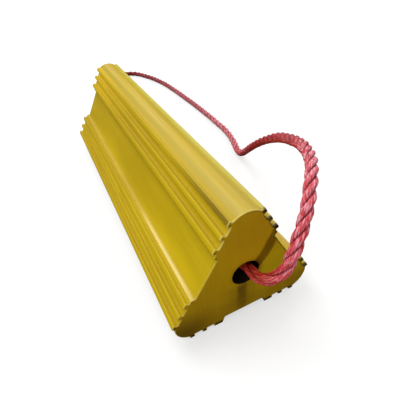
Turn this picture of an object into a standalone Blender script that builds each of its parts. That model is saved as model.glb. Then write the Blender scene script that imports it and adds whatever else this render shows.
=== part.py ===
"""Three-lobed polyurethane wheel chock with a loop of laid rope through its bore.

Frame: metres, +Z up, +Y along the chock, near end at -Y.
The origin is on the ground under the middle of the chock.
"""
import math

import bmesh
import bpy
import numpy as np
from mathutils import Vector

# Chock body: an extruded three-sided profile, the same on every side but for the inner teeth
LENGTH = 0.508
TIP_INRADIUS = 0.0625        # profile centre to the line through one side's tooth tips
SIDE_SPAN = 0.1416           # outer corner to outer corner of the end teeth on one side
TOOTH_PITCH = 0.0159
TOOTH_WIDTHS = (0.0064, 0.0058, 0.0066)   # from the lobe towards the middle of the side
TOOTH_DEPTH = 0.0048
SHELF_HALF_WIDTH = 0.0274    # narrow step between the inner tooth and the recess
GROUND_INNER_TOOTH = (0.0288, 0.0400)     # wide inner tooth of the side on the ground: it has no step
RECESS_HALF_WIDTH = 0.0254
RECESS_DEPTH = 0.0092
LOBE_OFFSET = 0.0710         # profile centre to the centre of a lobe's round nose
LOBE_RADIUS = 0.0250
LOBE_STEPS = 14
SIDES = 3

# Bore for the rope: a little above the profile's centre
BORE_DIAMETER = 0.0318
BORE_RISE = 0.0110
BORE_SEGMENTS = 48
CUTTER_OVERRUN = 0.010

# Rope
ROPE_DIAMETER = 0.0127
ROPE_POINT_SPACING = 0.0300
ROPE_BEVEL_RESOLUTION = 2
CONTACT_GAP = 0.0003

# Short splice that joins the rope's two ends, half way along the bore
SPLICE_LENGTH = 0.080
SPLICE_DIAMETER = 0.0176
SPLICE_TAPER = 0.022
SPLICE_SEGMENTS = 24
SPLICE_DROP = 0.0066         # below the bore's axis, where it rests on the bore

BORE_AXIS_HEIGHT = TIP_INRADIUS + BORE_RISE
HALF_LENGTH = LENGTH / 2
SPLICE_HEIGHT = BORE_AXIS_HEIGHT - SPLICE_DROP
SPLICE_HALF = SPLICE_LENGTH / 2
LIE = ROPE_DIAMETER / 2 + CONTACT_GAP     # height of the rope's centre where it lies on the ground

# The rope's route from one face of the splice, out of the near mouth, up and over
# beside the chock, along the ground, round and back into the far mouth
ROPE_ROUTE = [
    (0.0000, -SPLICE_HALF - CONTACT_GAP, SPLICE_HEIGHT),
    (0.0000, -0.1000, 0.0655),
    (0.0010, -0.1700, 0.0655),
    (0.0045, -0.2250, 0.0710),
    (0.0056, -0.2540, 0.0740),
    (0.0070, -0.2710, 0.0800),
    (0.0105, -0.2841, 0.0915),
    (0.0156, -0.2902, 0.1042),
    (0.0225, -0.2907, 0.1188),
    (0.0330, -0.2855, 0.1351),
    (0.0501, -0.2730, 0.1525),
    (0.0645, -0.2584, 0.1623),
    (0.0876, -0.2310, 0.1694),
    (0.1015, -0.2048, 0.1667),
    (0.1151, -0.1668, 0.1542),
    (0.1311, -0.1212, 0.1297),
    (0.1467, -0.0688, 0.0942),
    (0.1594, -0.0210, 0.0553),
    (0.1669, 0.0076, 0.0304),
    (0.1712, 0.0279, 0.0149),
    (0.1771, 0.0504, 0.0082),
    (0.1861, 0.0758, LIE),
    (0.1976, 0.1222, LIE),
    (0.2018, 0.1794, LIE),
    (0.2029, 0.2470, LIE),
    (0.1986, 0.4075, LIE),
    (0.1845, 0.5288, LIE),
    (0.1665, 0.5853, LIE),
    (0.1455, 0.6230, LIE),
    (0.1130, 0.6400, LIE),
    (0.0790, 0.6345, LIE),
    (0.0555, 0.6090, LIE),
    (0.0430, 0.5680, LIE),
    (0.0290, 0.4900, LIE),
    (0.0155, 0.4250, 0.0125),
    (0.0060, 0.3600, 0.0385),
    (0.0010, 0.3020, 0.0610),
    (0.0000, 0.2540, 0.0655),
    (0.0000, 0.1200, 0.0655),
    (0.0000, SPLICE_HALF + CONTACT_GAP, SPLICE_HEIGHT),
]


def clear_scene():
    for old in list(bpy.data.objects):
        bpy.data.objects.remove(old, do_unlink=True)


def make_material(name, color, roughness, metallic=0.0):
    material = bpy.data.materials.new(name)
    material.use_nodes = True
    shader = material.node_tree.nodes["Principled BSDF"]
    shader.inputs["Base Color"].default_value = (*color, 1.0)
    shader.inputs["Roughness"].default_value = roughness
    shader.inputs["Metallic"].default_value = metallic
    return material


def add_object(name, data, material):
    obj = bpy.data.objects.new(name, data)
    bpy.context.scene.collection.objects.link(obj)
    data.materials.append(material)
    return obj


def half_side(on_ground):
    """One half of a side, from its middle to the lobe, as (distance along, depth below the tips)."""
    teeth = []
    for i, width in enumerate(TOOTH_WIDTHS):
        outer = SIDE_SPAN / 2 - i * TOOTH_PITCH
        teeth.append((outer - width, outer))
    points = [(RECESS_HALF_WIDTH, RECESS_DEPTH)]
    if on_ground:
        teeth[-1] = GROUND_INNER_TOOTH
    else:
        points += [(SHELF_HALF_WIDTH, TOOTH_DEPTH), (teeth[-1][0], TOOTH_DEPTH)]
    for i in reversed(range(len(teeth))):
        inner, outer = teeth[i]
        points += [(inner, 0.0), (outer, 0.0)]
        if i:
            points += [(outer, TOOTH_DEPTH), (teeth[i - 1][0], TOOTH_DEPTH)]
        else:
            points.append((outer, lobe_depth(outer)))
    return points


def lobe_depth(along):
    """Depth below the tips at which the lobe's round nose passes a distance along the side."""
    nose_along = LOBE_OFFSET * math.sin(math.pi / SIDES)
    nose_depth = TIP_INRADIUS - LOBE_OFFSET * math.cos(math.pi / SIDES)
    return nose_depth - math.sqrt(LOBE_RADIUS ** 2 - (along - nose_along) ** 2)


def to_profile(side_angle, along, depth):
    """A point on a side whose outward normal is at side_angle, as (x, z) about the profile's centre."""
    normal = Vector((math.cos(side_angle), math.sin(side_angle)))
    tangent = Vector((-normal.y, normal.x))
    return normal * (TIP_INRADIUS - depth) + tangent * along


def profile():
    """The whole outline, counter-clockwise, as (x, z) about the profile's centre."""
    outline = []
    for i in range(SIDES):
        side_angle = -math.pi / 2 + i * math.tau / SIDES
        half = half_side(on_ground=i == 0)
        for along, depth in reversed(half):
            outline.append(to_profile(side_angle, -along, depth))
        for along, depth in half:
            outline.append(to_profile(side_angle, along, depth))
        lobe_angle = side_angle + math.pi / SIDES
        nose = Vector((math.cos(lobe_angle), math.sin(lobe_angle))) * LOBE_OFFSET
        first = outline[-1] - nose
        half_sweep = lobe_angle - math.atan2(first.y, first.x)
        half_sweep = (half_sweep + math.pi) % math.tau - math.pi
        for k in range(1, LOBE_STEPS):
            angle = lobe_angle - half_sweep + 2 * half_sweep * k / LOBE_STEPS
            outline.append(nose + Vector((math.cos(angle), math.sin(angle))) * LOBE_RADIUS)
    return outline


def build_bore_cutter():
    mesh = bpy.data.meshes.new("bore_cutter")
    bm = bmesh.new()
    bmesh.ops.create_cone(bm, cap_ends=True, segments=BORE_SEGMENTS, radius1=BORE_DIAMETER / 2,
                          radius2=BORE_DIAMETER / 2, depth=LENGTH + 2 * CUTTER_OVERRUN)
    bm.to_mesh(mesh)
    bm.free()
    cutter = bpy.data.objects.new("bore_cutter", mesh)
    bpy.context.scene.collection.objects.link(cutter)
    cutter.location = (0, 0, BORE_AXIS_HEIGHT)
    cutter.rotation_euler = (math.pi / 2, 0, 0)
    cutter.hide_render = True
    cutter.display_type = "WIRE"
    return cutter


def build_chock_body(material):
    mesh = bpy.data.meshes.new("chock_body")
    bm = bmesh.new()
    near_end = [bm.verts.new((x, -HALF_LENGTH, z + TIP_INRADIUS)) for x, z in profile()]
    face = bm.faces.new(near_end)
    grown = bmesh.ops.extrude_face_region(bm, geom=[face])
    far_end = [item for item in grown["geom"] if isinstance(item, bmesh.types.BMVert)]
    bmesh.ops.translate(bm, verts=far_end, vec=(0, LENGTH, 0))
    bmesh.ops.recalc_face_normals(bm, faces=bm.faces)
    bm.to_mesh(mesh)
    bm.free()
    body = add_object("chock_body", mesh, material)
    bore = body.modifiers.new("bore", "BOOLEAN")
    bore.operation = "DIFFERENCE"
    bore.solver = "EXACT"
    bore.object = build_bore_cutter()
    return body


def smooth_path(route, spacing):
    """Evenly spaced points on the natural cubic spline through the route's points."""
    knots = np.array(route, dtype=float)
    steps = np.linalg.norm(np.diff(knots, axis=0), axis=1)
    count = len(knots)
    system = np.eye(count)
    bend = np.zeros((count, 3))
    for i in range(1, count - 1):
        system[i, i - 1:i + 2] = steps[i - 1], 2 * (steps[i - 1] + steps[i]), steps[i]
        bend[i] = 6 * ((knots[i + 1] - knots[i]) / steps[i] - (knots[i] - knots[i - 1]) / steps[i - 1])
    bend = np.linalg.solve(system, bend)
    fine = []
    for i in range(count - 1):
        for t in np.linspace(0.0, 1.0, 40, endpoint=False):
            a, b = 1 - t, t
            curl = (a ** 3 - a) * bend[i] + (b ** 3 - b) * bend[i + 1]
            fine.append(a * knots[i] + b * knots[i + 1] + curl * steps[i] ** 2 / 6)
    fine.append(knots[-1])
    fine = np.array(fine)
    fine[:, 2] = np.maximum(fine[:, 2], LIE)
    travelled = np.concatenate([[0.0], np.cumsum(np.linalg.norm(np.diff(fine, axis=0), axis=1))])
    pieces = round(travelled[-1] / spacing)
    wanted = np.linspace(0.0, travelled[-1], pieces + 1)
    return np.stack([np.interp(wanted, travelled, fine[:, axis]) for axis in range(3)], axis=1)


def build_rope(material):
    curve = bpy.data.curves.new("rope", "CURVE")
    curve.dimensions = "3D"
    curve.bevel_depth = ROPE_DIAMETER / 2
    curve.bevel_resolution = ROPE_BEVEL_RESOLUTION
    curve.use_fill_caps = True
    path = smooth_path(ROPE_ROUTE, ROPE_POINT_SPACING)
    spline = curve.splines.new("POLY")
    spline.points.add(len(path) - 1)
    for point, place in zip(spline.points, path):
        point.co = (*place, 1.0)
    return add_object("rope", curve, material)


def build_rope_splice(material):
    """The spliced length: a spindle a little thicker than the rope, tapered at both ends."""
    mesh = bpy.data.meshes.new("rope_splice")
    bm = bmesh.new()
    thin = ROPE_DIAMETER / 2
    thick = SPLICE_DIAMETER / 2
    stations = [(-SPLICE_HALF, thin), (-SPLICE_HALF + SPLICE_TAPER, thick),
                (SPLICE_HALF - SPLICE_TAPER, thick), (SPLICE_HALF, thin)]
    rings = []
    for y, radius in stations:
        ring = []
        for k in range(SPLICE_SEGMENTS):
            angle = math.tau * k / SPLICE_SEGMENTS
            ring.append(bm.verts.new((radius * math.cos(angle), y, radius * math.sin(angle))))
        rings.append(ring)
    for ring, following in zip(rings, rings[1:]):
        for k in range(SPLICE_SEGMENTS):
            after = (k + 1) % SPLICE_SEGMENTS
            bm.faces.new((ring[k], ring[after], following[after], following[k]))
    bm.faces.new(rings[0])
    bm.faces.new(rings[-1])
    bmesh.ops.recalc_face_normals(bm, faces=bm.faces)
    bm.to_mesh(mesh)
    bm.free()
    mesh.shade_smooth()
    mesh.set_sharp_from_angle(angle=math.radians(40))
    return add_object("rope_splice", mesh, material)


def hang_on_bore_axis(pieces):
    """Parent the rope's pieces to an empty on the bore's axis, which the loop swings about."""
    pivot = bpy.data.objects.new("rope_pivot", None)
    bpy.context.scene.collection.objects.link(pivot)
    pivot.location = (0, 0, BORE_AXIS_HEIGHT)
    for piece, place in pieces:
        piece.parent = pivot
        piece.location = Vector(place) - pivot.location


def main():
    clear_scene()
    yellow = make_material("yellow_polyurethane", (0.72, 0.50, 0.02), 0.38)
    red = make_material("red_polypropylene_rope", (0.55, 0.06, 0.06), 0.55)
    body = build_chock_body(yellow)
    body.data.shade_smooth()
    body.data.set_sharp_from_angle(angle=math.radians(25))
    rope = build_rope(red)
    splice = build_rope_splice(red)
    hang_on_bore_axis([(rope, (0, 0, 0)), (splice, (0, 0, SPLICE_HEIGHT))])


main()
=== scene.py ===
"""Looks of a three-lobed polyurethane wheel chock and its loop of laid rope.

Frame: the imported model's own, in metres. +Z is up, +Y runs along the chock, and the origin is on the
ground under its middle. Each piece stands for one CAD node and rides on that node's body.
"""
import math

import bmesh
import bpy
import numpy as np
from mathutils import Matrix, Vector


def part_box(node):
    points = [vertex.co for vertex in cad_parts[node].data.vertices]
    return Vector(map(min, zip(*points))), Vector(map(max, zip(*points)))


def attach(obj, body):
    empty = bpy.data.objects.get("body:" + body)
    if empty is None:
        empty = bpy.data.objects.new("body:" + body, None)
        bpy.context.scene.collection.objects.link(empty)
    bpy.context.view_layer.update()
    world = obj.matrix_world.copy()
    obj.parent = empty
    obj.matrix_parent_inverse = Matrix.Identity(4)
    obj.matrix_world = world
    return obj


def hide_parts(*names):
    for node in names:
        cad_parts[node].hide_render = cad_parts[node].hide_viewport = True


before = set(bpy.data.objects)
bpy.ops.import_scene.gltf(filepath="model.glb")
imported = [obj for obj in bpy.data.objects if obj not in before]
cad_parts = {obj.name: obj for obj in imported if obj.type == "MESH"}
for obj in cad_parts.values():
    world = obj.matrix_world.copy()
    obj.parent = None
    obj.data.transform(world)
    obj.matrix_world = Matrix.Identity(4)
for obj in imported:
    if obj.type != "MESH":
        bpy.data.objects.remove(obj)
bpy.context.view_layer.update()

# Camera, at the viewing angle of the reference
CAMERA_PLACE = Vector((-0.1240, -0.4342, 0.3540))
CAMERA_HEADING = 23.59       # degrees from +Y towards +X
CAMERA_DIP = 39.58           # degrees below level
CAMERA_ROLL = -4.63          # degrees
CAMERA_LENS = 29.66          # mm on a 36 mm sensor

# Chock body: its section is three equal sides, each with two groups of teeth
body_low, body_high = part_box("chock_body")
NEAR_END = body_low.y
FAR_END = body_high.y
TIP_INRADIUS = 0.0625        # section's centre to the line through one side's tooth tips
SIDE_SPAN = 0.1416           # from the outermost tooth's outer edge to the other group's
TOOTH_PITCH = 0.0159
TOOTH_WIDTHS = (0.0064, 0.0058, 0.0066)      # from the lobe inwards
TOOTH_DEPTH = 0.0048
SHELF_HALF_WIDTH = 0.0274    # from the side's middle to where the recess's wall meets the narrow shelf
GROUND_INNER_TOOTH = (0.0288, 0.0400)        # its inner and outer edge, from the middle of the side
RECESS_HALF_WIDTH = 0.0254   # of its floor
RECESS_DEPTH = 0.0092
LOBE_OFFSET = 0.0710         # section's centre to a lobe's own
LOBE_RADIUS = 0.0250
LOBE_STEPS = 24
SIDES = 3
SIDE_RISE = math.sqrt(0.75)  # what a sloping side gains in height over its length
SIDE_RUN = 0.5               # what it gains across
TIP_ROUND = 0.0009           # corners of the teeth
ROOT_ROUND = 0.0008          # corners between the teeth
RECESS_ROUND = 0.0008
CORNER_STEPS = 4
CORNER_SHARE = 0.45          # a rounding takes up at most this share of the shorter stretch beside it
LONGEST_SPAN = 0.0055        # outline points are at most this far apart
END_ROUND = 0.0008           # edge of each end face
END_HOLD = 0.0003            # flat strip inside that edge
END_STEPS = 4
STATION_SPACING = 0.0090
SAWN, BORED = 1, 2           # the body's material slots after the moulded one
SAG = 0.00022                # how far the moulded sides wander inwards at most

BORE_RADIUS = 0.0159
BORE_HEIGHT = 0.0735
BORE_SEGMENTS = 64
MOUTH_ROUND = 0.0004
BORE_STATIONS = 40

# Rope: three strands laid right-handed, each of several yarns
ROPE_DIAMETER = 0.0127
CONTACT_GAP = 0.0003
STRANDS = 3
THIRD = math.tau / STRANDS
STRAND_RADIUS = 0.57 * ROPE_DIAMETER / 2
HELIX_RADIUS = ROPE_DIAMETER / 2 - STRAND_RADIUS
STRAND_GAP = 0.00004         # between the flats where two strands press together
LAY_LENGTH = 0.047           # one turn of a strand round the rope
# That length at distances from the near mouth: long where the rope has opened, short on top of its arch
LAY_ALONG = ((-0.03, LAY_LENGTH), (0.00, 0.10), (0.03, 0.11), (0.07, 0.05), (0.14, 0.05),
             (0.20, 0.033), (0.30, 0.06), (0.36, 0.062), (0.42, LAY_LENGTH))
SET_PLACE = 0.0504           # distance from the near mouth at which the first strand's angle is nought
YARNS = 8
SIDES_PER_YARN = 4
YARN_GROOVE = 0.120          # depth of the groove between yarns, as a share of the strand's radius
RING_SPACING = 0.0021
SPLINE_STEPS = 120           # between two points of the route
SWELL = 0.080                # how much thicker the rope is where its strands have opened
SWOLLEN = (-0.012, 0.020, 0.300, 0.360)      # where that starts, is full, is full to, and ends
MARK_OFFSET = 0.02           # shifts each strand's marks, so that no two strands are marked alike

# Splice: the rope's strands carried on, with the cut ends tucked between them against their lay
SPLICE_LENGTH = 0.080
SPLICE_HALF = SPLICE_LENGTH / 2
SPLICE_DROP = 0.0066         # how far it lies below the bore's axis
SPLICE_HEIGHT = BORE_HEIGHT - SPLICE_DROP
SPLICE_RINGS = 60
TUCK_RADIUS = 0.0020
TUCK_TIP_RADIUS = 0.0003
TUCK_CENTRE = 0.0054
TUCK_WEAVE = 0.0013          # how far a tucked end goes out over a strand, and in under the next one
TUCK_LAY = 0.060             # one turn of a tucked end, which goes round the other way

# The rope's route, from the splice out of the near mouth, round the chock and back in at the far one
LIE = ROPE_DIAMETER / 2 + CONTACT_GAP
ROPE_ROUTE = [
    (0.0000, -SPLICE_HALF - CONTACT_GAP, SPLICE_HEIGHT),
    (0.0000, -0.1000, 0.0655),
    (0.0010, -0.1700, 0.0655),
    (0.0045, -0.2250, 0.0710),
    (0.0056, -0.2540, 0.0740),
    (0.0070, -0.2710, 0.0800),
    (0.0105, -0.2841, 0.0915),
    (0.0156, -0.2902, 0.1042),
    (0.0225, -0.2907, 0.1188),
    (0.0330, -0.2855, 0.1351),
    (0.0501, -0.2730, 0.1525),
    (0.0645, -0.2584, 0.1623),
    (0.0876, -0.2310, 0.1694),
    (0.1015, -0.2048, 0.1667),
    (0.1151, -0.1668, 0.1542),
    (0.1311, -0.1212, 0.1297),
    (0.1467, -0.0688, 0.0942),
    (0.1594, -0.0210, 0.0553),
    (0.1669, 0.0076, 0.0304),
    (0.1712, 0.0279, 0.0149),
    (0.1771, 0.0504, 0.0082),
    (0.1861, 0.0758, LIE),
    (0.1976, 0.1222, LIE),
    (0.2018, 0.1794, LIE),
    (0.2029, 0.2470, LIE),
    (0.1986, 0.4075, LIE),
    (0.1845, 0.5288, LIE),
    (0.1665, 0.5853, LIE),
    (0.1455, 0.6230, LIE),
    (0.1130, 0.6400, LIE),
    (0.0790, 0.6345, LIE),
    (0.0555, 0.6090, LIE),
    (0.0430, 0.5680, LIE),
    (0.0290, 0.4900, LIE),
    (0.0155, 0.4250, 0.0125),
    (0.0060, 0.3600, 0.0385),
    (0.0010, 0.3020, 0.0610),
    (0.0000, 0.2540, 0.0655),
    (0.0000, 0.1200, 0.0655),
    (0.0000, SPLICE_HALF + CONTACT_GAP, SPLICE_HEIGHT),
]

# How worn and pale the rope is along its length: (distance, share)
WORN = ((0.00, 0.00), (0.21, 0.10), (0.26, 0.45), (0.33, 0.80), (0.39, 1.00), (0.45, 0.35), (0.62, 0.20),
        (0.72, 0.80), (0.80, 1.00), (1.05, 0.80), (1.25, 0.10), (2.01, 0.00))

# Light. A lamp's level is how bright a white looks that faces it, as a share
SUNS = (                     # name, direction towards it, level and width in degrees
    ("key", (-0.12, 0.50, 0.85), 0.54, 40),
    ("right", (0.80, 0.30, 0.52), 0.42, 60),
    ("left", (-0.80, 0.00, 0.60), 0.345, 60),
)
FRONT_LEVEL = 0.34
FRONT_PLACE = Vector((-0.26, -1.15, 0.20))
FRONT_AIM = Vector((0.005, NEAR_END, 0.125))
FRONT_SIZE = 0.055
FRONT_CONE = 24              # degrees
FAR_LEVEL = 0.14
FAR_PLACE = Vector((-0.35, 0.75, 0.75))
FAR_AIM = Vector((0.0, FAR_END, 0.10))
FAR_SIZE = 0.5
SKY_BELOW = 0.03
SKY_ABOVE = 0.27
SKY_TURN = (-0.15, 0.25)     # heights on a unit ball between which the sky goes from below to above
FLOOR_ALBEDO = 0.42
FLOOR_GLOW = 0.60
FLOOR_HALF = 12.0


# ---------------------------------------------------------------- camera

def add_camera():
    """The camera, turned by its heading and dip, and then rolled about its own view."""
    heading = math.radians(CAMERA_HEADING)
    dip = math.radians(CAMERA_DIP)
    roll = math.radians(CAMERA_ROLL)
    ahead = Vector((math.sin(heading) * math.cos(dip), math.cos(heading) * math.cos(dip), -math.sin(dip)))
    level_right = ahead.cross(Vector((0, 0, 1))).normalized()
    level_up = level_right.cross(ahead)
    right = level_right * math.cos(roll) + level_up * math.sin(roll)
    up = right.cross(ahead)
    data = bpy.data.cameras.new("camera")
    data.lens = CAMERA_LENS
    data.clip_start = 0.01
    camera = bpy.data.objects.new("camera", data)
    bpy.context.scene.collection.objects.link(camera)
    turned = Matrix((right, up, -ahead)).transposed().to_4x4()
    camera.matrix_world = Matrix.Translation(CAMERA_PLACE) @ turned
    bpy.context.scene.camera = camera


# ---------------------------------------------------------------- meshes

def add_mesh(name, points, faces, material):
    """A smooth-shaded object of one material."""
    mesh = bpy.data.meshes.new(name)
    mesh.from_pydata(points, [], faces)
    mesh.shade_smooth()
    obj = bpy.data.objects.new(name, mesh)
    bpy.context.scene.collection.objects.link(obj)
    mesh.materials.append(material)
    return obj


def smoothstep(low, high, value):
    """0 below low, 1 above high, and eased between them."""
    t = np.clip((value - low) / (high - low), 0, 1)
    return t * t * (3 - 2 * t)


def bump(value, start, full, still_full, end):
    """0 before start, 1 from full to still_full, and 0 again after end."""
    return smoothstep(start, full, value) * (1 - smoothstep(still_full, end, value))


# ---------------------------------------------------------------- rope

def smooth_path(route, spacing):
    """Evenly spaced points on the natural cubic spline through the route's points, kept off the ground."""
    knots = np.array(route, dtype=float)
    steps = np.linalg.norm(np.diff(knots, axis=0), axis=1)
    count = len(knots)
    system = np.eye(count)
    bend = np.zeros((count, 3))
    for i in range(1, count - 1):
        system[i, i - 1:i + 2] = steps[i - 1], 2 * (steps[i - 1] + steps[i]), steps[i]
        bend[i] = 6 * ((knots[i + 1] - knots[i]) / steps[i] - (knots[i] - knots[i - 1]) / steps[i - 1])
    bend = np.linalg.solve(system, bend)
    fine = []
    for i in range(count - 1):
        for b in np.linspace(0.0, 1.0, SPLINE_STEPS, endpoint=False):
            a = 1 - b
            curl = (a ** 3 - a) * bend[i] + (b ** 3 - b) * bend[i + 1]
            fine.append(a * knots[i] + b * knots[i + 1] + curl * steps[i] ** 2 / 6)
    fine.append(knots[-1])
    fine = np.array(fine)
    fine[:, 2] = np.maximum(fine[:, 2], LIE)
    travelled = np.concatenate([[0.0], np.cumsum(np.linalg.norm(np.diff(fine, axis=0), axis=1))])
    pieces = round(travelled[-1] / spacing)
    wanted = np.linspace(0.0, travelled[-1], pieces + 1)
    return np.stack([np.interp(wanted, travelled, fine[:, axis]) for axis in range(3)], axis=1)


def frames_along(path):
    """A direction across the path at each point, and the one square to it, without twist."""
    ahead = np.gradient(path, axis=0)
    ahead /= np.linalg.norm(ahead, axis=1)[:, None]
    across = np.zeros_like(path)
    across[0] = (1, 0, 0)
    for i in range(len(path)):
        kept = across[max(i - 1, 0)]
        kept = kept - (kept @ ahead[i]) * ahead[i]
        across[i] = kept / np.linalg.norm(kept)
    return across, np.cross(ahead, across)


def tube_faces(rings, sides, first):
    """Quads of a tube whose points run ring by ring, with both of its ends closed."""
    faces = []
    for i in range(rings - 1):
        row = first + i * sides
        for j in range(sides):
            after = (j + 1) % sides
            faces.append((row + j, row + after, row + sides + after, row + sides + j))
    faces.append(tuple(first + j for j in reversed(range(sides))))
    last = first + (rings - 1) * sides
    faces.append(tuple(last + j for j in range(sides)))
    return faces


def strand(path, across, upward, turn, centre, radius, yarn_turn, pressed=True):
    """One strand. turn, centre and radius hold, for each ring, the strand's angle round the path,
    its distance from it and its radius. yarn_turn is the yarns' angle round the strand. A pressed
    strand is flat where it meets its neighbours."""
    sides = YARNS * SIDES_PER_YARN
    around = math.tau * np.arange(sides) / sides
    ridge = 0.5 + 0.5 * np.cos(around * YARNS)
    shape = 1 - YARN_GROOVE * (1 - np.sqrt(ridge))
    angle = around[None, :] + yarn_turn[:, None]
    outward = centre[:, None] + radius[:, None] * shape * np.cos(angle)
    sideways = radius[:, None] * shape * np.sin(angle)
    if pressed:
        wedge = np.maximum(np.maximum(outward, 0) * math.tan(math.pi / STRANDS) - STRAND_GAP, 0)
        sideways = np.clip(sideways, -wedge, wedge)
    out_x = outward * np.cos(turn)[:, None] - sideways * np.sin(turn)[:, None]
    out_y = outward * np.sin(turn)[:, None] + sideways * np.cos(turn)[:, None]
    points = path[:, None, :] + out_x[..., None] * across[:, None, :] + out_y[..., None] * upward[:, None, :]
    crown = 0.5 + 0.5 * np.cos(angle)
    yarn = np.broadcast_to(ridge, crown.shape)
    return points, crown, yarn, around


def fibre_marks(around, along, offset):
    """Coordinates that run with the yarns: a circle round the strand, and the distance along it."""
    circle = np.stack([np.cos(around), np.sin(around)], axis=1) * STRAND_RADIUS
    marks = np.empty((len(along), len(around), 3))
    marks[..., 0] = circle[None, :, 0] + offset
    marks[..., 1] = circle[None, :, 1]
    marks[..., 2] = along[:, None]
    return marks


def value_at(along, table):
    """A value read off a table of (distance, value)."""
    places, values = zip(*table)
    return np.interp(along, places, values)


def join_strands(name, strands, material):
    """One mesh of several strands, with the values that its material reads on its points."""
    points, faces, crown, yarn, marks = [], [], [], [], []
    for made, high, ridge, mark in strands:
        rings, sides = made.shape[:2]
        faces += tube_faces(rings, sides, sum(len(earlier) for earlier in points))
        points.append(made.reshape(-1, 3))
        crown.append(high.ravel())
        yarn.append(ridge.ravel())
        marks.append(mark.reshape(-1, 3))
    obj = add_mesh(name, np.concatenate(points).tolist(), faces, material)
    attributes = obj.data.attributes
    attributes.new("crown", "FLOAT", "POINT").data.foreach_set("value", np.concatenate(crown))
    attributes.new("yarn", "FLOAT", "POINT").data.foreach_set("value", np.concatenate(yarn))
    marks = np.concatenate(marks)
    attributes.new("fibre", "FLOAT_VECTOR", "POINT").data.foreach_set("vector", marks.ravel())
    attributes.new("worn", "FLOAT", "POINT").data.foreach_set("value", value_at(marks[:, 2], WORN))
    return obj


def unevenness(travelled, k):
    """How thick strand k is along its length, as a share of its plain radius."""
    return 1 + 0.04 * np.sin(travelled * 61 + 2.1 * k) + 0.03 * np.sin(travelled * 143 + 4.0 * k)


def lay_strands(path, across, upward, travelled, twist, swell):
    """The rope's three strands along a path, with their marks. twist is the first strand's angle, and
    swell the rope's thickness over its plain one."""
    yarn_twist = -twist * (1 + HELIX_RADIUS / STRAND_RADIUS)
    strands = []
    for k in range(STRANDS):
        radius = STRAND_RADIUS * swell * unevenness(travelled, k)
        made, crown, yarn, around = strand(path, across, upward, twist + THIRD * k, HELIX_RADIUS * swell,
                                           radius, yarn_twist)
        strands.append((made, crown, yarn, fibre_marks(around, travelled, MARK_OFFSET * k)))
    return strands


def build_rope(material):
    """The loop, its path, and the first strand's angle in the x-z plane at its start and at its end."""
    path = smooth_path(ROPE_ROUTE, RING_SPACING)
    travelled = np.concatenate([[0.0], np.cumsum(np.linalg.norm(np.diff(path, axis=0), axis=1))])
    across, upward = frames_along(path)
    from_mouth = travelled - travelled[np.argmax(path[:, 1] < NEAR_END)]
    swell = 1 + SWELL * bump(from_mouth, *SWOLLEN)
    twist = np.cumsum(np.diff(travelled, prepend=0.0) * math.tau / value_at(from_mouth, LAY_ALONG))
    twist -= np.interp(SET_PLACE, from_mouth, twist)
    rope = join_strands("laid_rope", lay_strands(path, across, upward, travelled, twist, swell), material)
    start_turn = twist[0] + math.atan2(across[0, 2], across[0, 0])
    end_turn = twist[-1] + math.atan2(across[-1, 2], across[-1, 0])
    return rope, path, start_turn, end_turn


def build_splice(material, turn_in, turn_out):
    """The join, from the rope's end, where the first strand stands at turn_in, to its start."""
    path = np.linspace((0, SPLICE_HALF, SPLICE_HEIGHT), (0, -SPLICE_HALF, SPLICE_HEIGHT), SPLICE_RINGS)
    across, upward = frames_along(path)
    travelled = SPLICE_HALF - path[:, 1]
    sweep = (turn_out - turn_in) % THIRD
    sweep += THIRD * round((math.tau * SPLICE_LENGTH / LAY_LENGTH - sweep) / THIRD)
    twist = turn_in + sweep * travelled / SPLICE_LENGTH
    strands = lay_strands(path, across, upward, travelled, twist, np.ones(SPLICE_RINGS))
    full = bump(travelled, 0.0, SPLICE_LENGTH / 4, SPLICE_LENGTH * 3 / 4, SPLICE_LENGTH)
    radius = TUCK_TIP_RADIUS + (TUCK_RADIUS - TUCK_TIP_RADIUS) * full
    back = turn_in - math.tau * travelled / TUCK_LAY
    for k in range(STRANDS):
        turn = back + THIRD * k
        centre = TUCK_CENTRE + TUCK_WEAVE * np.cos((turn - twist) * STRANDS / 2)
        made, crown, yarn, around = strand(path, across, upward, turn, centre, radius, -back, pressed=False)
        strands.append((made, crown, yarn, fibre_marks(around, travelled, MARK_OFFSET * (STRANDS + k))))
    return join_strands("short_splice", strands, material)


# ---------------------------------------------------------------- chock body

def lobe_depth(along):
    """Depth below the tips at which the lobe's round nose passes a distance along the side."""
    nose_along = LOBE_OFFSET * math.sin(math.pi / SIDES)
    nose_depth = TIP_INRADIUS - LOBE_OFFSET * math.cos(math.pi / SIDES)
    return nose_depth - math.sqrt(LOBE_RADIUS ** 2 - (along - nose_along) ** 2)


def half_side(on_ground):
    """One half of a side, from its middle to the lobe: (distance along, depth below the tips, rounding)."""
    teeth = []
    for i, width in enumerate(TOOTH_WIDTHS):
        outer = SIDE_SPAN / 2 - i * TOOTH_PITCH
        teeth.append((outer - width, outer))
    points = [(RECESS_HALF_WIDTH, RECESS_DEPTH, RECESS_ROUND)]
    if on_ground:
        teeth[-1] = GROUND_INNER_TOOTH
    else:
        points += [(SHELF_HALF_WIDTH, TOOTH_DEPTH, RECESS_ROUND), (teeth[-1][0], TOOTH_DEPTH, ROOT_ROUND)]
    for i in reversed(range(len(teeth))):
        inner, outer = teeth[i]
        points += [(inner, 0.0, TIP_ROUND), (outer, 0.0, TIP_ROUND)]
        if i:
            points += [(outer, TOOTH_DEPTH, ROOT_ROUND), (teeth[i - 1][0], TOOTH_DEPTH, ROOT_ROUND)]
        else:
            points.append((outer, lobe_depth(outer), ROOT_ROUND))
    return points


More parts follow.
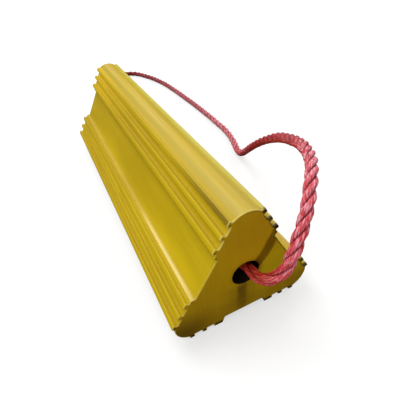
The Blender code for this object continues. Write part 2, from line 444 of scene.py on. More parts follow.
def section_corners():
    """The section's outline before rounding, counter-clockwise: a list of ((x, z), rounding, depth)."""
    corners = []
    for i in range(SIDES):
        half = half_side(on_ground=i == 0)
        side_angle = -math.pi / 2 + i * math.tau / SIDES
        normal = Vector((math.cos(side_angle), math.sin(side_angle)))
        tangent = Vector((-normal.y, normal.x))
        both = [(-along, depth, rounding) for along, depth, rounding in reversed(half)] + half
        for along, depth, rounding in both:
            place = normal * (TIP_INRADIUS - depth) + tangent * along
            corners.append((place, rounding, depth))
        lobe_angle = side_angle + math.pi / SIDES
        nose = Vector((math.cos(lobe_angle), math.sin(lobe_angle))) * LOBE_OFFSET
        first = corners[-1][0] - nose
        half_sweep = lobe_angle - math.atan2(first.y, first.x)
        half_sweep = (half_sweep + math.pi) % math.tau - math.pi
        for k in range(1, LOBE_STEPS):
            angle = lobe_angle - half_sweep + 2 * half_sweep * k / LOBE_STEPS
            corners.append((nose + Vector((math.cos(angle), math.sin(angle))) * LOBE_RADIUS, 0.0, 0.0))
    return corners


def rounded_section():
    """The outline with its corners turned to arcs. Each point is (place, edge, groove): edge is 1 on an
    outer corner and -1 on an inner one, and groove is the depth below the tips over a tooth's depth."""
    corners = section_corners()
    outline = []
    for i, (corner, rounding, depth) in enumerate(corners):
        groove = min(max(depth / TOOTH_DEPTH, 0.0), 1.0)
        if rounding == 0.0:
            outline.append((corner, 0.0, 0.0))
            continue
        back = corners[i - 1][0] - corner
        ahead = corners[(i + 1) % len(corners)][0] - corner
        room = CORNER_SHARE * min(back.length, ahead.length)
        back.normalize()
        ahead.normalize()
        half_angle = back.angle(ahead) / 2
        reach = min(rounding / math.tan(half_angle), room)
        centre = corner + (back + ahead).normalized() * (reach / math.cos(half_angle))
        spoke = corner + back * reach - centre
        sweep = spoke.angle_signed(corner + ahead * reach - centre)
        turns_out = back.x * ahead.y - back.y * ahead.x < 0
        for k in range(CORNER_STEPS + 1):
            share = k / CORNER_STEPS
            angle = -sweep * share
            turned = Vector((spoke.x * math.cos(angle) - spoke.y * math.sin(angle),
                             spoke.x * math.sin(angle) + spoke.y * math.cos(angle)))
            strength = math.sin(math.pi * share) * (1 if turns_out else -1)
            outline.append((centre + turned, strength, groove))
    return outline


def spaced_section():
    """The rounded outline with extra points along its long flats."""
    rounded = rounded_section()
    outline = []
    for i, (place, edge, groove) in enumerate(rounded):
        outline.append((place, edge, groove))
        following, _, next_groove = rounded[(i + 1) % len(rounded)]
        pieces = math.ceil((following - place).length / LONGEST_SPAN)
        for k in range(1, pieces):
            share = k / pieces
            outline.append((place.lerp(following, share), 0.0, groove + (next_groove - groove) * share))
    return outline


def outward_normals(places):
    """Unit normals of a closed counter-clockwise outline, at its points."""
    along = np.roll(places, -1, axis=0) - np.roll(places, 1, axis=0)
    normals = np.stack([along[:, 1], -along[:, 0]], axis=1)
    return normals / np.linalg.norm(normals, axis=1)[:, None]


def sag_at(around, y):
    """How far the moulded surface lies inside its true outline: slow waves along it, always inwards."""
    slow = np.sin(9.0 * y + 3.1 * np.sin(around * 2) + 0.7)
    quick = np.sin(31.0 * y + 5.0 * np.cos(around * 3))
    return SAG * (0.5 + 0.35 * slow + 0.15 * quick)


def stations(rounding, count):
    """(y, inset) of each ring from the near end to the far one: a flat strip and a rounded edge at both,
    and count even steps between the edges."""
    edge = []
    for k in range(END_STEPS + 1):
        angle = math.pi / 2 * k / END_STEPS
        edge.append((rounding * (1 - math.cos(angle)), rounding * (1 - math.sin(angle))))
    near = [(NEAR_END, rounding + END_HOLD)] + [(NEAR_END + y, inset) for y, inset in edge]
    first, last = NEAR_END + rounding, FAR_END - rounding
    middle = [(first + (last - first) * k / count, 0.0) for k in range(1, count)]
    far = [(FAR_END - y, inset) for y, inset in reversed(edge)] + [(FAR_END, rounding + END_HOLD)]
    return near + middle + far


def add_loops(bm, loops):
    """Vertex loops of equal length, joined by quads. Returns the loops and the quads."""
    made = [[bm.verts.new(point) for point in loop] for loop in loops]
    count = len(made[0])
    faces = []
    for loop, following in zip(made, made[1:]):
        for j in range(count):
            after = (j + 1) % count
            faces.append(bm.faces.new((loop[j], loop[after], following[after], following[j])))
    return made, faces


def add_skin(bm):
    """The moulded sides, with how sharp and how deep each point is for their material. Returns the loops."""
    outline = spaced_section()
    places = np.array([place for place, _, _ in outline])
    normals = outward_normals(places)
    around = np.arctan2(places[:, 1], places[:, 0])
    edge_layer = bm.verts.layers.float.new("edge")
    groove_layer = bm.verts.layers.float.new("groove")
    skin = []
    for y, inset in stations(END_ROUND, round((FAR_END - NEAR_END - 2 * END_ROUND) / STATION_SPACING)):
        held = places - normals * (inset + sag_at(around, y))[:, None]
        skin.append([(x, y, z + TIP_INRADIUS) for x, z in held])
    loops, _ = add_loops(bm, skin)
    for loop in loops:
        for vert, (_, edge, groove) in zip(loop, outline):
            vert[edge_layer] = edge
            vert[groove_layer] = groove
    return loops


def add_bore(bm):
    """The bore's wall. Returns its loops."""
    angles = math.tau * np.arange(BORE_SEGMENTS) / BORE_SEGMENTS
    rings = []
    for y, inset in stations(MOUTH_ROUND, BORE_STATIONS):
        radius = BORE_RADIUS + inset
        rings.append([(radius * math.cos(a), y, BORE_HEIGHT + radius * math.sin(a)) for a in angles])
    loops, faces = add_loops(bm, rings)
    for face in faces:
        face.material_index = BORED
    return loops


def close_end(bm, skin_loop, bore_loop):
    """The sawn face between the section's outline and the bore."""
    rim = [bm.edges.get((ring[j], ring[(j + 1) % len(ring)])) for ring in (skin_loop, bore_loop)
           for j in range(len(ring))]
    filled = bmesh.ops.triangle_fill(bm, edges=rim, use_beauty=True)
    for item in filled["geom"]:
        if isinstance(item, bmesh.types.BMFace):
            item.material_index = SAWN


def build_body(materials):
    """The chock. materials are its sides', its sawn ends' and its bore's, in that order."""
    bm = bmesh.new()
    skin_loops = add_skin(bm)
    bore_loops = add_bore(bm)
    close_end(bm, skin_loops[0], bore_loops[0])
    close_end(bm, skin_loops[-1], bore_loops[-1])
    bmesh.ops.recalc_face_normals(bm, faces=bm.faces)
    mesh = bpy.data.meshes.new("moulded_body")
    bm.to_mesh(mesh)
    bm.free()
    mesh.shade_smooth()
    for material in materials:
        mesh.materials.append(material)
    made = bpy.data.objects.new("moulded_body", mesh)
    bpy.context.scene.collection.objects.link(made)
    return made


# ---------------------------------------------------------------- materials

# Colours, linear
YELLOW = (0.620, 0.440, 0.0045)
DEEP_YELLOW = (0.555, 0.378, 0.0030)
CLOUD_YELLOW = (0.560, 0.400, 0.0030)
STREAK_YELLOW = (0.640, 0.455, 0.006)
FRESH_YELLOW = (0.740, 0.500, 0.002)
# Painted shade in the grooves between the teeth
GROOVE_SHADE_BROWN = (0.300, 0.185, 0.003)
EDGE_YELLOW = (0.700, 0.510, 0.020)
# Painted light on the top lobe's nose: highlights on its right edge and in a pale band, shade beside them
# and towards the near end
NOSE_SHEEN_COLOR = (0.550, 0.475, 0.060)
RIGHT_SHADE_COLOR = (0.450, 0.330, 0.003)
LEFT_SHADE_COLOR = (0.430, 0.310, 0.002)
SHEEN_COLOR = (0.630, 0.465, 0.110)
NEAR_NOSE_SHADE = (0.400, 0.290, 0.004)
STAIN_COLOR = (0.170, 0.095, 0.003)
# Painted highlight on the wall beside the left side's recess
WALL_HIGHLIGHT_COLOR = (0.860, 0.700, 0.230)
# Painted shade in the right side's grooves at the near end
RIGHT_GROOVE_SHADE_COLOR = (0.060, 0.035, 0.003)
# Painted highlight on the near end's rim, strongest on the top lobe
RIM_HIGHLIGHT_COLOR = (0.740, 0.600, 0.140)
DARK_RIM_COLOR = (0.035, 0.020, 0.002)

SAWN_OCHRE = (0.500, 0.292, 0.0025)
DEEP_OCHRE = (0.455, 0.252, 0.002)
PALE_SAW_LINE = (0.560, 0.350, 0.004)
DARK_SAW_LINE = (0.360, 0.190, 0.002)
# Painted reflection: lighter and greener right of the bore
REFLECTED_OCHRE = (0.560, 0.390, 0.002)
DAMP_COLOR = (0.220, 0.120, 0.002)
DRIP_COLOR = (0.100, 0.050, 0.002)
MOUTH_COLOR = (0.230, 0.120, 0.002)
# Painted shade: darker towards the bottom and in the lower left corner
LOW_SHADE_COLOR = (0.230, 0.125, 0.002)
CORNER_SHADE_COLOR = (0.170, 0.090, 0.002)
TOOTH_GRIME = (0.035, 0.019, 0.001)

# Near black: the rope's soiling and painted shade inside the bore
BORE_DIRT_AND_SHADE = (0.010, 0.006, 0.002)
BORE_STREAK = (0.022, 0.012, 0.003)

ROPE_RED = (0.620, 0.030, 0.036)
PALE_RED = (0.750, 0.064, 0.077)
# Painted reflection of the yellow near end, on the rope by the mouth
REFLECTED_ORANGE = (0.700, 0.040, 0.004)
FADED_RED = (0.800, 0.200, 0.265)
FLECK_PINK = (0.960, 0.480, 0.570)
FLECK_RED = (0.300, 0.007, 0.012)
HAIR_PINK = (0.900, 0.360, 0.430)
# Painted shade between the yarns and between the strands
YARN_SHADE = (0.260, 0.007, 0.013)
STRAND_SHADE = (0.200, 0.003, 0.010)
# Painted shade on the top of the arch, and along the far stretch
ARCH_TOP_SHADE = (0.260, 0.006, 0.012)
FAR_ROPE_SHADE = (0.240, 0.006, 0.014)

# Marks on the body. Two places are where a mark starts, or is weaker, and where it is full. Four are
# where it starts, is full, is full to, and ends. Heights are above the section's centre. TO_TOP is
# measured along the left side, from its middle to the top lobe, and a depth from that side's tooth tips.
NOSE_HEIGHT = (0.080, 0.086)
NOSE_SHEEN_EDGE = (0.0105, 0.0145)
NOSE_RIGHT_SHADE = (0.0030, 0.0070, 0.0095, 0.0125)
RIGHT_SHADE_ALONG = (0.12, -0.02)
NOSE_SHEEN_BAND = (-0.0100, -0.0020, 0.0010, 0.0080)
NOSE_LEFT_SHADE = (-0.0150, -0.0105, -0.0080, -0.0025)
NEAR_NOSE_SHADE_ALONG = (-0.12, -0.25)
FRESH_ALONG = (0.02, 0.22)
FRESH_TO_TOP = (0.015, 0.040)
FRESH_DEPTH = (0.0060, 0.0050)
STAIN_TO_TOP = (0.0635, 0.0647, 0.0696, 0.0712)
STAIN_DEPTH = (0.004, 0.002)
STAIN_ALONG = (-0.10, NEAR_END)
WALL_HIGHLIGHT_TO_TOP = (-0.0292, -0.0280, -0.0266, -0.0254)
WALL_HIGHLIGHT_DEPTH = (0.0042, 0.0046, 0.0072, 0.0088)
WALL_HIGHLIGHT_ALONG = (-0.08, -0.15)
WALL_HIGHLIGHT_FADE = (NEAR_END, -0.22)
RIGHT_GROOVE_SHADE_ALONG = (NEAR_END + 0.012, NEAR_END)
RIGHT_GROOVE_SHADE_ACROSS = (0.005, 0.015)
RIM_HIGHLIGHT_ALONG = (NEAR_END + 0.0022, NEAR_END + 0.0008)
RIM_HIGHLIGHT_HEIGHT = (0.055, 0.068)
DARK_RIM_ALONG = (NEAR_END + 0.0030, NEAR_END + 0.0014)
DARK_RIM_ACROSS = (0.014, 0.019)

# Marks on the sawn ends, given in the same way. Here heights are above the ground.
MOUTH_RING = (0.0225, 0.0162)                # from the bore's axis
LOW_SHADE_HEIGHT = (0.055, 0.0)
DAMP_MIDDLE = -0.004                         # across the end
DAMP_HALF = (0.030, 0.004)
DRIP_HALF = (0.0085, 0.0030)
DAMP_BELOW_BORE = (-0.072, -0.050, -0.022, -0.010)
CORNER_SHADE_ACROSS = (-0.030, -0.075)
CORNER_SHADE_HEIGHT = (0.055, 0.015)
REFLECTION_ACROSS = (0.008, 0.026)
REFLECTION_HEIGHT = (0.020, 0.040, 0.084, 0.104)
GROUND_TEETH = (0.0066, 0.0046)
RIGHT_TEETH = (0.0058, 0.0045)
NOSE_RIM = (LOBE_RADIUS - 0.0022, LOBE_RADIUS - 0.0010)
NOSE_RIM_ACROSS = (-0.014, 0.0)
NOSE_RIM_HEIGHT = (0.0, 0.008)               # above the lobe's centre

# Marks on the rope, at distances along it from the splice
REFLECTION_STRETCH = (0.290, 0.235)
GROOVE_STRETCH = (0.235, 0.330)
ARCH_TOP_SHADE_STRETCH = (0.38, 0.44)
FAR_ROPE_SHADE_STRETCH = (0.84, 0.99)


class Shading:
    """A material's nodes, with a short call for each kind that is used here."""

    def __init__(self, name):
        self.material = bpy.data.materials.new(name)
        self.material.use_nodes = True
        self.nodes = self.material.node_tree.nodes
        self.links = self.material.node_tree.links
        self.shader = self.nodes["Principled BSDF"]
        self.place = self.nodes.new("ShaderNodeTexCoord").outputs["Object"]
        self.color = None

    def feed(self, socket, value):
        """Sets a socket to a number, a colour or another node's output."""
        if isinstance(value, bpy.types.NodeSocket):
            self.links.new(value, socket)
        elif isinstance(value, tuple) and len(value) == 3 and socket.type == "RGBA":
            socket.default_value = (*value, 1)
        else:
            socket.default_value = value

    def stretch(self, vector, scale, turn=(0, 0, 0)):
        """A place scaled along each axis, after a turn by these degrees."""
        node = self.nodes.new("ShaderNodeMapping")
        self.feed(node.inputs["Vector"], vector)
        node.inputs["Rotation"].default_value = [math.radians(a) for a in turn]
        node.inputs["Scale"].default_value = scale
        return node.outputs["Vector"]

    def noise(self, vector, scale, detail=3.0, roughness=0.55):
        node = self.nodes.new("ShaderNodeTexNoise")
        self.feed(node.inputs["Vector"], vector)
        node.inputs["Scale"].default_value = scale
        node.inputs["Detail"].default_value = detail
        node.inputs["Roughness"].default_value = roughness
        return node.outputs["Fac"]

    def span(self, value, low, high, to_low=0.0, to_high=1.0):
        """value from low..high to to_low..to_high, eased at both ends."""
        node = self.nodes.new("ShaderNodeMapRange")
        node.interpolation_type = "SMOOTHSTEP"
        for socket, number in zip(node.inputs, (value, low, high, to_low, to_high)):
            self.feed(socket, number)
        return node.outputs["Result"]

    def band(self, value, start, full, still_full, end):
        """0 before start, 1 from full to still_full, and 0 again after end."""
        return self.times(self.span(value, start, full), self.span(value, end, still_full))

    def math(self, operation, first, second=0.0):
        node = self.nodes.new("ShaderNodeMath")
        node.operation = operation
        self.feed(node.inputs[0], first)
        self.feed(node.inputs[1], second)
        return node.outputs["Value"]

    def times(self, *values):
        result = values[0]
        for value in values[1:]:
            result = self.math("MULTIPLY", result, value)
        return result

    def plus(self, *values):
        result = values[0]
        for value in values[1:]:
            result = self.math("ADD", result, value)
        return result

    def distance(self, first, second):
        """How far off a place is whose two distances, square to each other, are these."""
        return self.math("SQRT", self.plus(self.times(first, first), self.times(second, second)))

    def mix(self, share, first, second):
        node = self.nodes.new("ShaderNodeMix")
        node.data_type = "RGBA"
        self.feed(node.inputs[0], share)
        self.feed(node.inputs[6], first)
        self.feed(node.inputs[7], second)
        return node.outputs[2]

    def coat(self, share, color):
        """Lays a colour over the ones so far."""
        self.color = self.mix(share, self.color, color)

    def attribute(self, name, output="Fac"):
        node = self.nodes.new("ShaderNodeAttribute")
        node.attribute_name = name
        return node.outputs[output]

    def part(self, vector, axis):
        node = self.nodes.new("ShaderNodeSeparateXYZ")
        self.feed(node.inputs[0], vector)
        return node.outputs[axis]

    def finish(self, roughness, height, depth):
        """The colour so far, a roughness, and a bump whose height of 1 stands depth metres proud."""
        self.feed(self.shader.inputs["Base Color"], self.color)
        self.feed(self.shader.inputs["Roughness"], roughness)
        node = self.nodes.new("ShaderNodeBump")
        node.inputs["Distance"].default_value = depth
        node.inputs["Strength"].default_value = 1.0
        self.feed(node.inputs["Height"], height)
        self.links.new(node.outputs["Normal"], self.shader.inputs["Normal"])
        return self.material


def paint_nose_light(s, along, across, up, flow, broad):
    """Bands along the top lobe's nose: painted highlights on its right edge and in a pale streaked band, and
    painted shade in darker bands beside them and towards the near end.
    """
    nose = s.span(up, *NOSE_HEIGHT)
    # Painted highlight: a lighter, greener right edge
    s.coat(s.times(nose, s.span(across, *NOSE_SHEEN_EDGE), 0.75), NOSE_SHEEN_COLOR)
    # Painted shade: a darker band right of the middle, strongest towards the near end
    right_shade = s.times(nose, s.band(across, *NOSE_RIGHT_SHADE), s.span(along, *RIGHT_SHADE_ALONG, 0.2, 1.0))
    s.coat(s.times(right_shade, 0.7), RIGHT_SHADE_COLOR)
    # Painted shade: a darker band left of the middle
    s.coat(s.times(nose, s.band(across, *NOSE_LEFT_SHADE), 0.7), LEFT_SHADE_COLOR)
    # Painted highlight: a pale, streaked band across the middle
    sheen = s.times(nose, s.band(across, *NOSE_SHEEN_BAND), s.span(flow, 0.34, 0.60, 0.25, 1.0),
                    s.span(broad, 0.60, 0.35, 0.6, 1.0))
    s.coat(s.times(sheen, 0.95), SHEEN_COLOR)
    # Painted shade: darker towards the near end
    s.coat(s.times(nose, s.span(along, *NEAR_NOSE_SHADE_ALONG, 0.0, 0.30)), NEAR_NOSE_SHADE)


def mark_left_side(s, along, to_top, depth, flow):
    """A stain on the left side's top tooth and a painted highlight on the wall beside its recess. Returns
    the stain.
    """
    stain = s.times(s.band(to_top, *STAIN_TO_TOP), s.span(depth, *STAIN_DEPTH), s.span(along, *STAIN_ALONG),
                    s.span(flow, 0.25, 0.50, 0.7, 1.0))
    s.coat(s.times(stain, 0.75), STAIN_COLOR)
    # Painted highlight on the wall beside the recess, faint towards the far end
    wall = s.times(s.band(to_top, *WALL_HIGHLIGHT_TO_TOP), s.band(depth, *WALL_HIGHLIGHT_DEPTH))
    wall_highlight = s.times(wall, s.span(along, *WALL_HIGHLIGHT_ALONG, 0.10, 1.0), s.span(along, *WALL_HIGHLIGHT_FADE, 0.6, 1.0))
    s.coat(s.times(wall_highlight, 0.85), WALL_HIGHLIGHT_COLOR)
    return stain


def mark_near_rim(s, along, across, up, groove, cloud):
    """The near end's edge: painted shade in the right side's grooves, a painted highlight on the rim, and a
    dark rim on the right.
    """
    # Painted shade in the right side's grooves by the near end
    right_groove_shade = s.times(s.span(along, *RIGHT_GROOVE_SHADE_ALONG), s.span(groove, 0.4, 0.9), s.span(across, *RIGHT_GROOVE_SHADE_ACROSS))
    s.coat(s.times(right_groove_shade, 0.30), RIGHT_GROOVE_SHADE_COLOR)
    # Painted highlight along the near end's rim
    rim = s.times(s.span(along, *RIM_HIGHLIGHT_ALONG), s.span(cloud, 0.30, 0.60, 0.5, 1.0),
                  s.span(up, *RIM_HIGHLIGHT_HEIGHT, 0.25, 0.75))
    s.coat(rim, RIM_HIGHLIGHT_COLOR)
    s.coat(s.times(s.span(along, *DARK_RIM_ALONG), s.span(across, *DARK_RIM_ACROSS), 0.9), DARK_RIM_COLOR)


def make_moulded_polyurethane():
    """Satin yellow skin, streaked along the body, with painted shade in its grooves, the marks of use, and
    painted light on its top lobe, left side and near rim.
    """
    s = Shading("moulded_polyurethane")
    flow = s.noise(s.stretch(s.place, (1, 0.018, 1)), 240, 3.0)
    broad = s.noise(s.stretch(s.place, (1, 0.05, 1)), 75, 3.0)
    cloud = s.noise(s.stretch(s.place, (1, 0.35, 1)), 16, 3.0)
    grain = s.noise(s.place, 2600, 2.0)
    peel = s.noise(s.stretch(s.place, (1, 0.5, 1)), 420, 2.0)
    edge = s.attribute("edge")
    groove = s.attribute("groove")
    along = s.part(s.place, "Y")
    across = s.part(s.place, "X")
    up = s.plus(s.part(s.place, "Z"), -TIP_INRADIUS)
    to_top = s.plus(s.times(across, SIDE_RUN), s.times(up, SIDE_RISE))
    depth = s.plus(s.times(across, SIDE_RISE), s.times(up, -SIDE_RUN), TIP_INRADIUS)
    s.color = s.mix(s.span(broad, 0.36, 0.66), YELLOW, DEEP_YELLOW)
    s.coat(s.span(cloud, 0.40, 0.70, 0.0, 0.5), CLOUD_YELLOW)
    s.coat(s.span(flow, 0.45, 0.75, 0.0, 0.35), STREAK_YELLOW)
    # Painted shade: darker in the grooves and along the inner corners between the teeth
    valley_shade = s.times(s.span(groove, 0.55, 1.0, 0.0, 0.20), s.span(cloud, 0.35, 0.65))
    root_shade = s.times(s.span(edge, -0.25, -0.9), s.span(groove, 0.80, 0.95),
                   s.span(flow, 0.30, 0.62, 0.05, 0.24))
    s.coat(s.plus(valley_shade, root_shade), GROOVE_SHADE_BROWN)
    s.coat(s.times(s.span(edge, 0.30, 0.95), s.span(flow, 0.36, 0.60, 0.05, 0.30)), EDGE_YELLOW)
    fresh = s.times(s.span(along, *FRESH_ALONG), s.span(to_top, *FRESH_TO_TOP), s.span(depth, *FRESH_DEPTH))
    s.coat(s.times(fresh, 0.7), FRESH_YELLOW)
    paint_nose_light(s, along, across, up, flow, broad)
    stain = mark_left_side(s, along, to_top, depth, flow)
    mark_near_rim(s, along, across, up, groove, cloud)
    s.shader.inputs["Specular IOR Level"].default_value = 0.30
    roughness = s.plus(s.span(flow, 0.3, 0.7, 0.34, 0.42), s.times(stain, 0.2))
    height = s.plus(s.times(flow, 0.45), s.times(peel, 0.25), s.times(grain, 0.06))
    return s.finish(roughness, height, 0.00026)


def mark_sawn_end(s, across, height, cloud):
    """Damp and drips below the bore, a soiled ring round it, painted shade low down and in the left corner,
    and a painted reflection right of the bore.
    """
    below = s.math("SUBTRACT", height, BORE_HEIGHT)
    ring = s.times(s.span(s.distance(across, below), *MOUTH_RING), s.span(cloud, 0.35, 0.6, 0.25, 0.8))
    low = s.times(s.span(height, *LOW_SHADE_HEIGHT), s.span(cloud, 0.30, 0.62, 0.5, 1.0))
    from_damp = s.math("ABSOLUTE", s.plus(across, -DAMP_MIDDLE))
    fading = s.band(below, *DAMP_BELOW_BORE)
    damp = s.times(s.span(from_damp, *DAMP_HALF), fading)
    drip = s.times(s.span(from_damp, *DRIP_HALF), fading, s.span(cloud, 0.30, 0.55, 0.5, 1.0))
    corner = s.times(s.span(across, *CORNER_SHADE_ACROSS), s.span(height, *CORNER_SHADE_HEIGHT))
    # Painted reflection: a lighter, greener patch right of the bore
    reflected_patch = s.times(s.span(across, *REFLECTION_ACROSS), s.band(height, *REFLECTION_HEIGHT))
    s.coat(s.times(reflected_patch, 0.60), REFLECTED_OCHRE)
    s.coat(s.times(damp, 0.50), DAMP_COLOR)
    s.coat(s.times(drip, 0.80), DRIP_COLOR)
    s.coat(ring, MOUTH_COLOR)
    # Painted shade: darker towards the bottom, and more so in the lower left corner
    s.coat(s.times(low, 0.35), LOW_SHADE_COLOR)
    s.coat(s.times(corner, 0.85), CORNER_SHADE_COLOR)


def blacken_teeth(s, across, height):
    """Grime on the sawn end's ground teeth, its right teeth and the rim of its top lobe."""
    up = s.plus(height, -TIP_INRADIUS)
    outward = s.plus(s.times(across, SIDE_RISE), s.times(up, SIDE_RUN))
    right_depth = s.math("SUBTRACT", TIP_INRADIUS, outward)
    lobe_up = s.plus(up, -LOBE_OFFSET)
    nose_rim = s.times(s.span(s.distance(across, lobe_up), *NOSE_RIM), s.span(across, *NOSE_RIM_ACROSS),
                       s.span(lobe_up, *NOSE_RIM_HEIGHT))
    right = s.times(s.span(right_depth, *RIGHT_TEETH), 0.9)
    teeth = s.math("MAXIMUM", s.span(height, *GROUND_TEETH), right)
    s.coat(s.times(s.math("MAXIMUM", teeth, nose_rim), 0.90), TOOTH_GRIME)


def make_sawn_polyurethane():
    """The cut ends: duller and browner than the skin, with fine saw lines, stains, soiling, painted shade
    and a painted reflection.
    """
    s = Shading("sawn_polyurethane")
    cloud = s.noise(s.place, 22, 4.0, 0.6)
    saw = s.noise(s.stretch(s.place, (1, 1, 0.05), (0, 6, 0)), 420, 3.0, 0.6)
    grain = s.noise(s.place, 3200, 2.0)
    across = s.part(s.place, "X")
    height = s.part(s.place, "Z")
    s.color = s.mix(s.span(cloud, 0.34, 0.68), SAWN_OCHRE, DEEP_OCHRE)
    s.coat(s.span(saw, 0.42, 0.66, 0.0, 0.20), PALE_SAW_LINE)
    s.coat(s.span(saw, 0.46, 0.30, 0.0, 0.15), DARK_SAW_LINE)
    mark_sawn_end(s, across, height, cloud)
    blacken_teeth(s, across, height)
    s.shader.inputs["Specular IOR Level"].default_value = 0.15
    relief = s.plus(s.times(saw, 0.35), s.times(grain, 0.1), s.times(cloud, 0.8))
    return s.finish(s.span(cloud, 0.3, 0.7, 0.45, 0.60), relief, 0.00022)


def make_bore_wall():
    """The bore's inside, blackened by the rope, and near black for painted shade."""
    s = Shading("bore_wall")
    streak = s.noise(s.stretch(s.place, (1, 0.05, 1)), 400, 3.0)
    s.color = s.mix(s.span(streak, 0.4, 0.7), BORE_DIRT_AND_SHADE, BORE_STREAK)
    s.shader.inputs["Specular IOR Level"].default_value = 0.10
    return s.finish(0.95, streak, 0.0003)


def make_rope_fibre():
    """Faded red polypropylene: yarns of different reds, pale broken fibres, painted shade between the yarns
    and strands, on the top of the arch and along the far stretch, and a painted reflection by the mouth.
    """
    s = Shading("rope_fibre")
    fibre = s.attribute("fibre", "Vector")
    crown = s.attribute("crown")
    yarn = s.attribute("yarn")
    worn = s.attribute("worn")
    shade = s.noise(s.stretch(fibre, (1, 1, 0.06)), 330, 2.0)
    hair = s.noise(s.stretch(fibre, (1, 1, 0.05)), 3600, 3.0, 0.65)
    fleck = s.noise(s.stretch(fibre, (1, 1, 0.30)), 520, 3.0, 0.7)
    along = s.part(fibre, "Z")
    s.color = s.mix(s.span(shade, 0.38, 0.62), ROPE_RED, PALE_RED)
    # Painted reflection: orange where the rope leaves the near mouth
    s.coat(s.span(along, *REFLECTION_STRETCH), REFLECTED_ORANGE)
    s.coat(s.times(s.span(shade, 0.46, 0.60), worn, 0.65), FADED_RED)
    s.coat(s.times(s.span(fleck, 0.49, 0.59), worn, 0.90), FLECK_PINK)
    s.coat(s.span(fleck, 0.44, 0.33, 0.0, 0.55), FLECK_RED)
    s.coat(s.times(s.span(hair, 0.55, 0.75), worn, 0.65), HAIR_PINK)
    # Painted shade between the yarns, and between the strands, less by the mouth
    s.coat(s.span(yarn, 0.36, 0.0, 0.0, 0.50), YARN_SHADE)
    s.coat(s.times(s.span(crown, 0.66, 0.42), s.span(along, *GROOVE_STRETCH, 0.55, 0.80)), STRAND_SHADE)
    # Painted shade from the top of the arch on, where the rope is less pale
    s.coat(s.times(s.span(worn, 0.90, 0.10, 0.0, 0.72), s.span(along, *ARCH_TOP_SHADE_STRETCH)), ARCH_TOP_SHADE)
    # Painted shade along the far stretch
    s.coat(s.span(along, *FAR_ROPE_SHADE_STRETCH, 0.0, 0.50), FAR_ROPE_SHADE)
    s.shader.inputs["Specular IOR Level"].default_value = 0.40
    relief = s.plus(s.times(hair, 0.6), s.times(fleck, 0.8))
    return s.finish(s.span(hair, 0.3, 0.7, 0.32, 0.50), relief, 0.00060)


# ---------------------------------------------------------------- stage

def add_lamp(name, kind, energy, towards, place=(0, 0, 0)):
    """A lamp at a place that shines away from the direction towards. Returns its data."""
    data = bpy.data.lights.new(name, kind)
    data.energy = energy
    lamp = bpy.data.objects.new(name, data)
    bpy.context.scene.collection.objects.link(lamp)
    lamp.location = place
    lamp.rotation_euler = Vector(towards).to_track_quat("Z", "Y").to_euler()
    return data


def add_sun(name, towards, level, spread):
    """A soft lamp far away, in the direction towards, whose width is spread degrees."""
    data = add_lamp(name, "SUN", level * math.pi, towards)
    data.angle = math.radians(spread)


def add_front_lamp():
    """A small soft lamp before the near end. It fades towards the ground."""
    back = FRONT_PLACE - FRONT_AIM
    energy = FRONT_LEVEL * 4 * math.pi ** 2 * back.length_squared
    data = add_lamp("front", "SPOT", energy, back, FRONT_PLACE)
    data.shadow_soft_size = FRONT_SIZE
    data.spot_size = math.radians(FRONT_CONE)
    data.spot_blend = 1.0


def add_far_lamp():
    """A wide soft lamp above the far end."""
    back = FAR_PLACE - FAR_AIM
    data = add_lamp("far", "AREA", FAR_LEVEL * math.pi ** 2 * back.length_squared, back, FAR_PLACE)
    data.size = FAR_SIZE


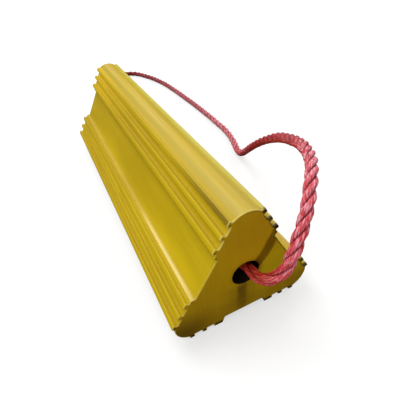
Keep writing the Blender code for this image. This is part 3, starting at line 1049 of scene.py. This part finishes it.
def add_world():
    """Dim even light from above, less from below. The camera itself sees white."""
    world = bpy.data.worlds.new("studio")
    bpy.context.scene.world = world
    world.use_nodes = True
    nodes = world.node_tree.nodes
    links = world.node_tree.links
    light = nodes["Background"]
    direction = nodes.new("ShaderNodeTexCoord").outputs["Generated"]
    height = nodes.new("ShaderNodeSeparateXYZ")
    links.new(direction, height.inputs[0])
    ramp = nodes.new("ShaderNodeMapRange")
    ramp.interpolation_type = "SMOOTHSTEP"
    links.new(height.outputs["Z"], ramp.inputs["Value"])
    for name, value in zip(("From Min", "From Max", "To Min", "To Max"), (*SKY_TURN, SKY_BELOW, SKY_ABOVE)):
        ramp.inputs[name].default_value = value
    links.new(ramp.outputs["Result"], light.inputs["Strength"])
    light.inputs["Color"].default_value = (1, 1, 1, 1)
    seen = nodes.new("ShaderNodeBackground")
    seen.inputs["Color"].default_value = (1, 1, 1, 1)
    choice = nodes.new("ShaderNodeMixShader")
    links.new(nodes.new("ShaderNodeLightPath").outputs["Is Camera Ray"], choice.inputs["Fac"])
    links.new(light.outputs[0], choice.inputs[1])
    links.new(seen.outputs[0], choice.inputs[2])
    links.new(choice.outputs[0], nodes["World Output"].inputs["Surface"])


def add_floor():
    """A pale floor that glows, so that shadows on it stay light. It throws no light back up."""
    material = bpy.data.materials.new("floor")
    material.use_nodes = True
    shader = material.node_tree.nodes["Principled BSDF"]
    shader.inputs["Base Color"].default_value = (FLOOR_ALBEDO,) * 3 + (1,)
    shader.inputs["Roughness"].default_value = 1.0
    shader.inputs["Specular IOR Level"].default_value = 0.0
    shader.inputs["Emission Color"].default_value = (1, 1, 1, 1)
    shader.inputs["Emission Strength"].default_value = FLOOR_GLOW
    corners = [(-1, -1), (1, -1), (1, 1), (-1, 1)]
    points = [(x * FLOOR_HALF, y * FLOOR_HALF, -CONTACT_GAP) for x, y in corners]
    floor = add_mesh("floor", points, [(0, 1, 2, 3)], material)
    floor.visible_diffuse = False
    floor.visible_glossy = False


def add_stage():
    """The floor and all the light."""
    add_floor()
    add_world()
    add_front_lamp()
    add_far_lamp()
    for name, towards, level, spread in SUNS:
        add_sun(name, towards, level, spread)
    bpy.context.scene.view_settings.view_transform = "Standard"


# ---------------------------------------------------------------- all of it

add_camera()
rope_fibre = make_rope_fibre()
rope, rope_path, start_turn, end_turn = build_rope(rope_fibre)
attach(rope, "rope_loop")
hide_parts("rope")
splice = build_splice(rope_fibre, end_turn, start_turn)
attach(splice, "rope_loop")
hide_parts("rope_splice")

body = build_body([make_moulded_polyurethane(), make_sawn_polyurethane(), make_bore_wall()])
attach(body, "chock")
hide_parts("chock_body")

add_stage()
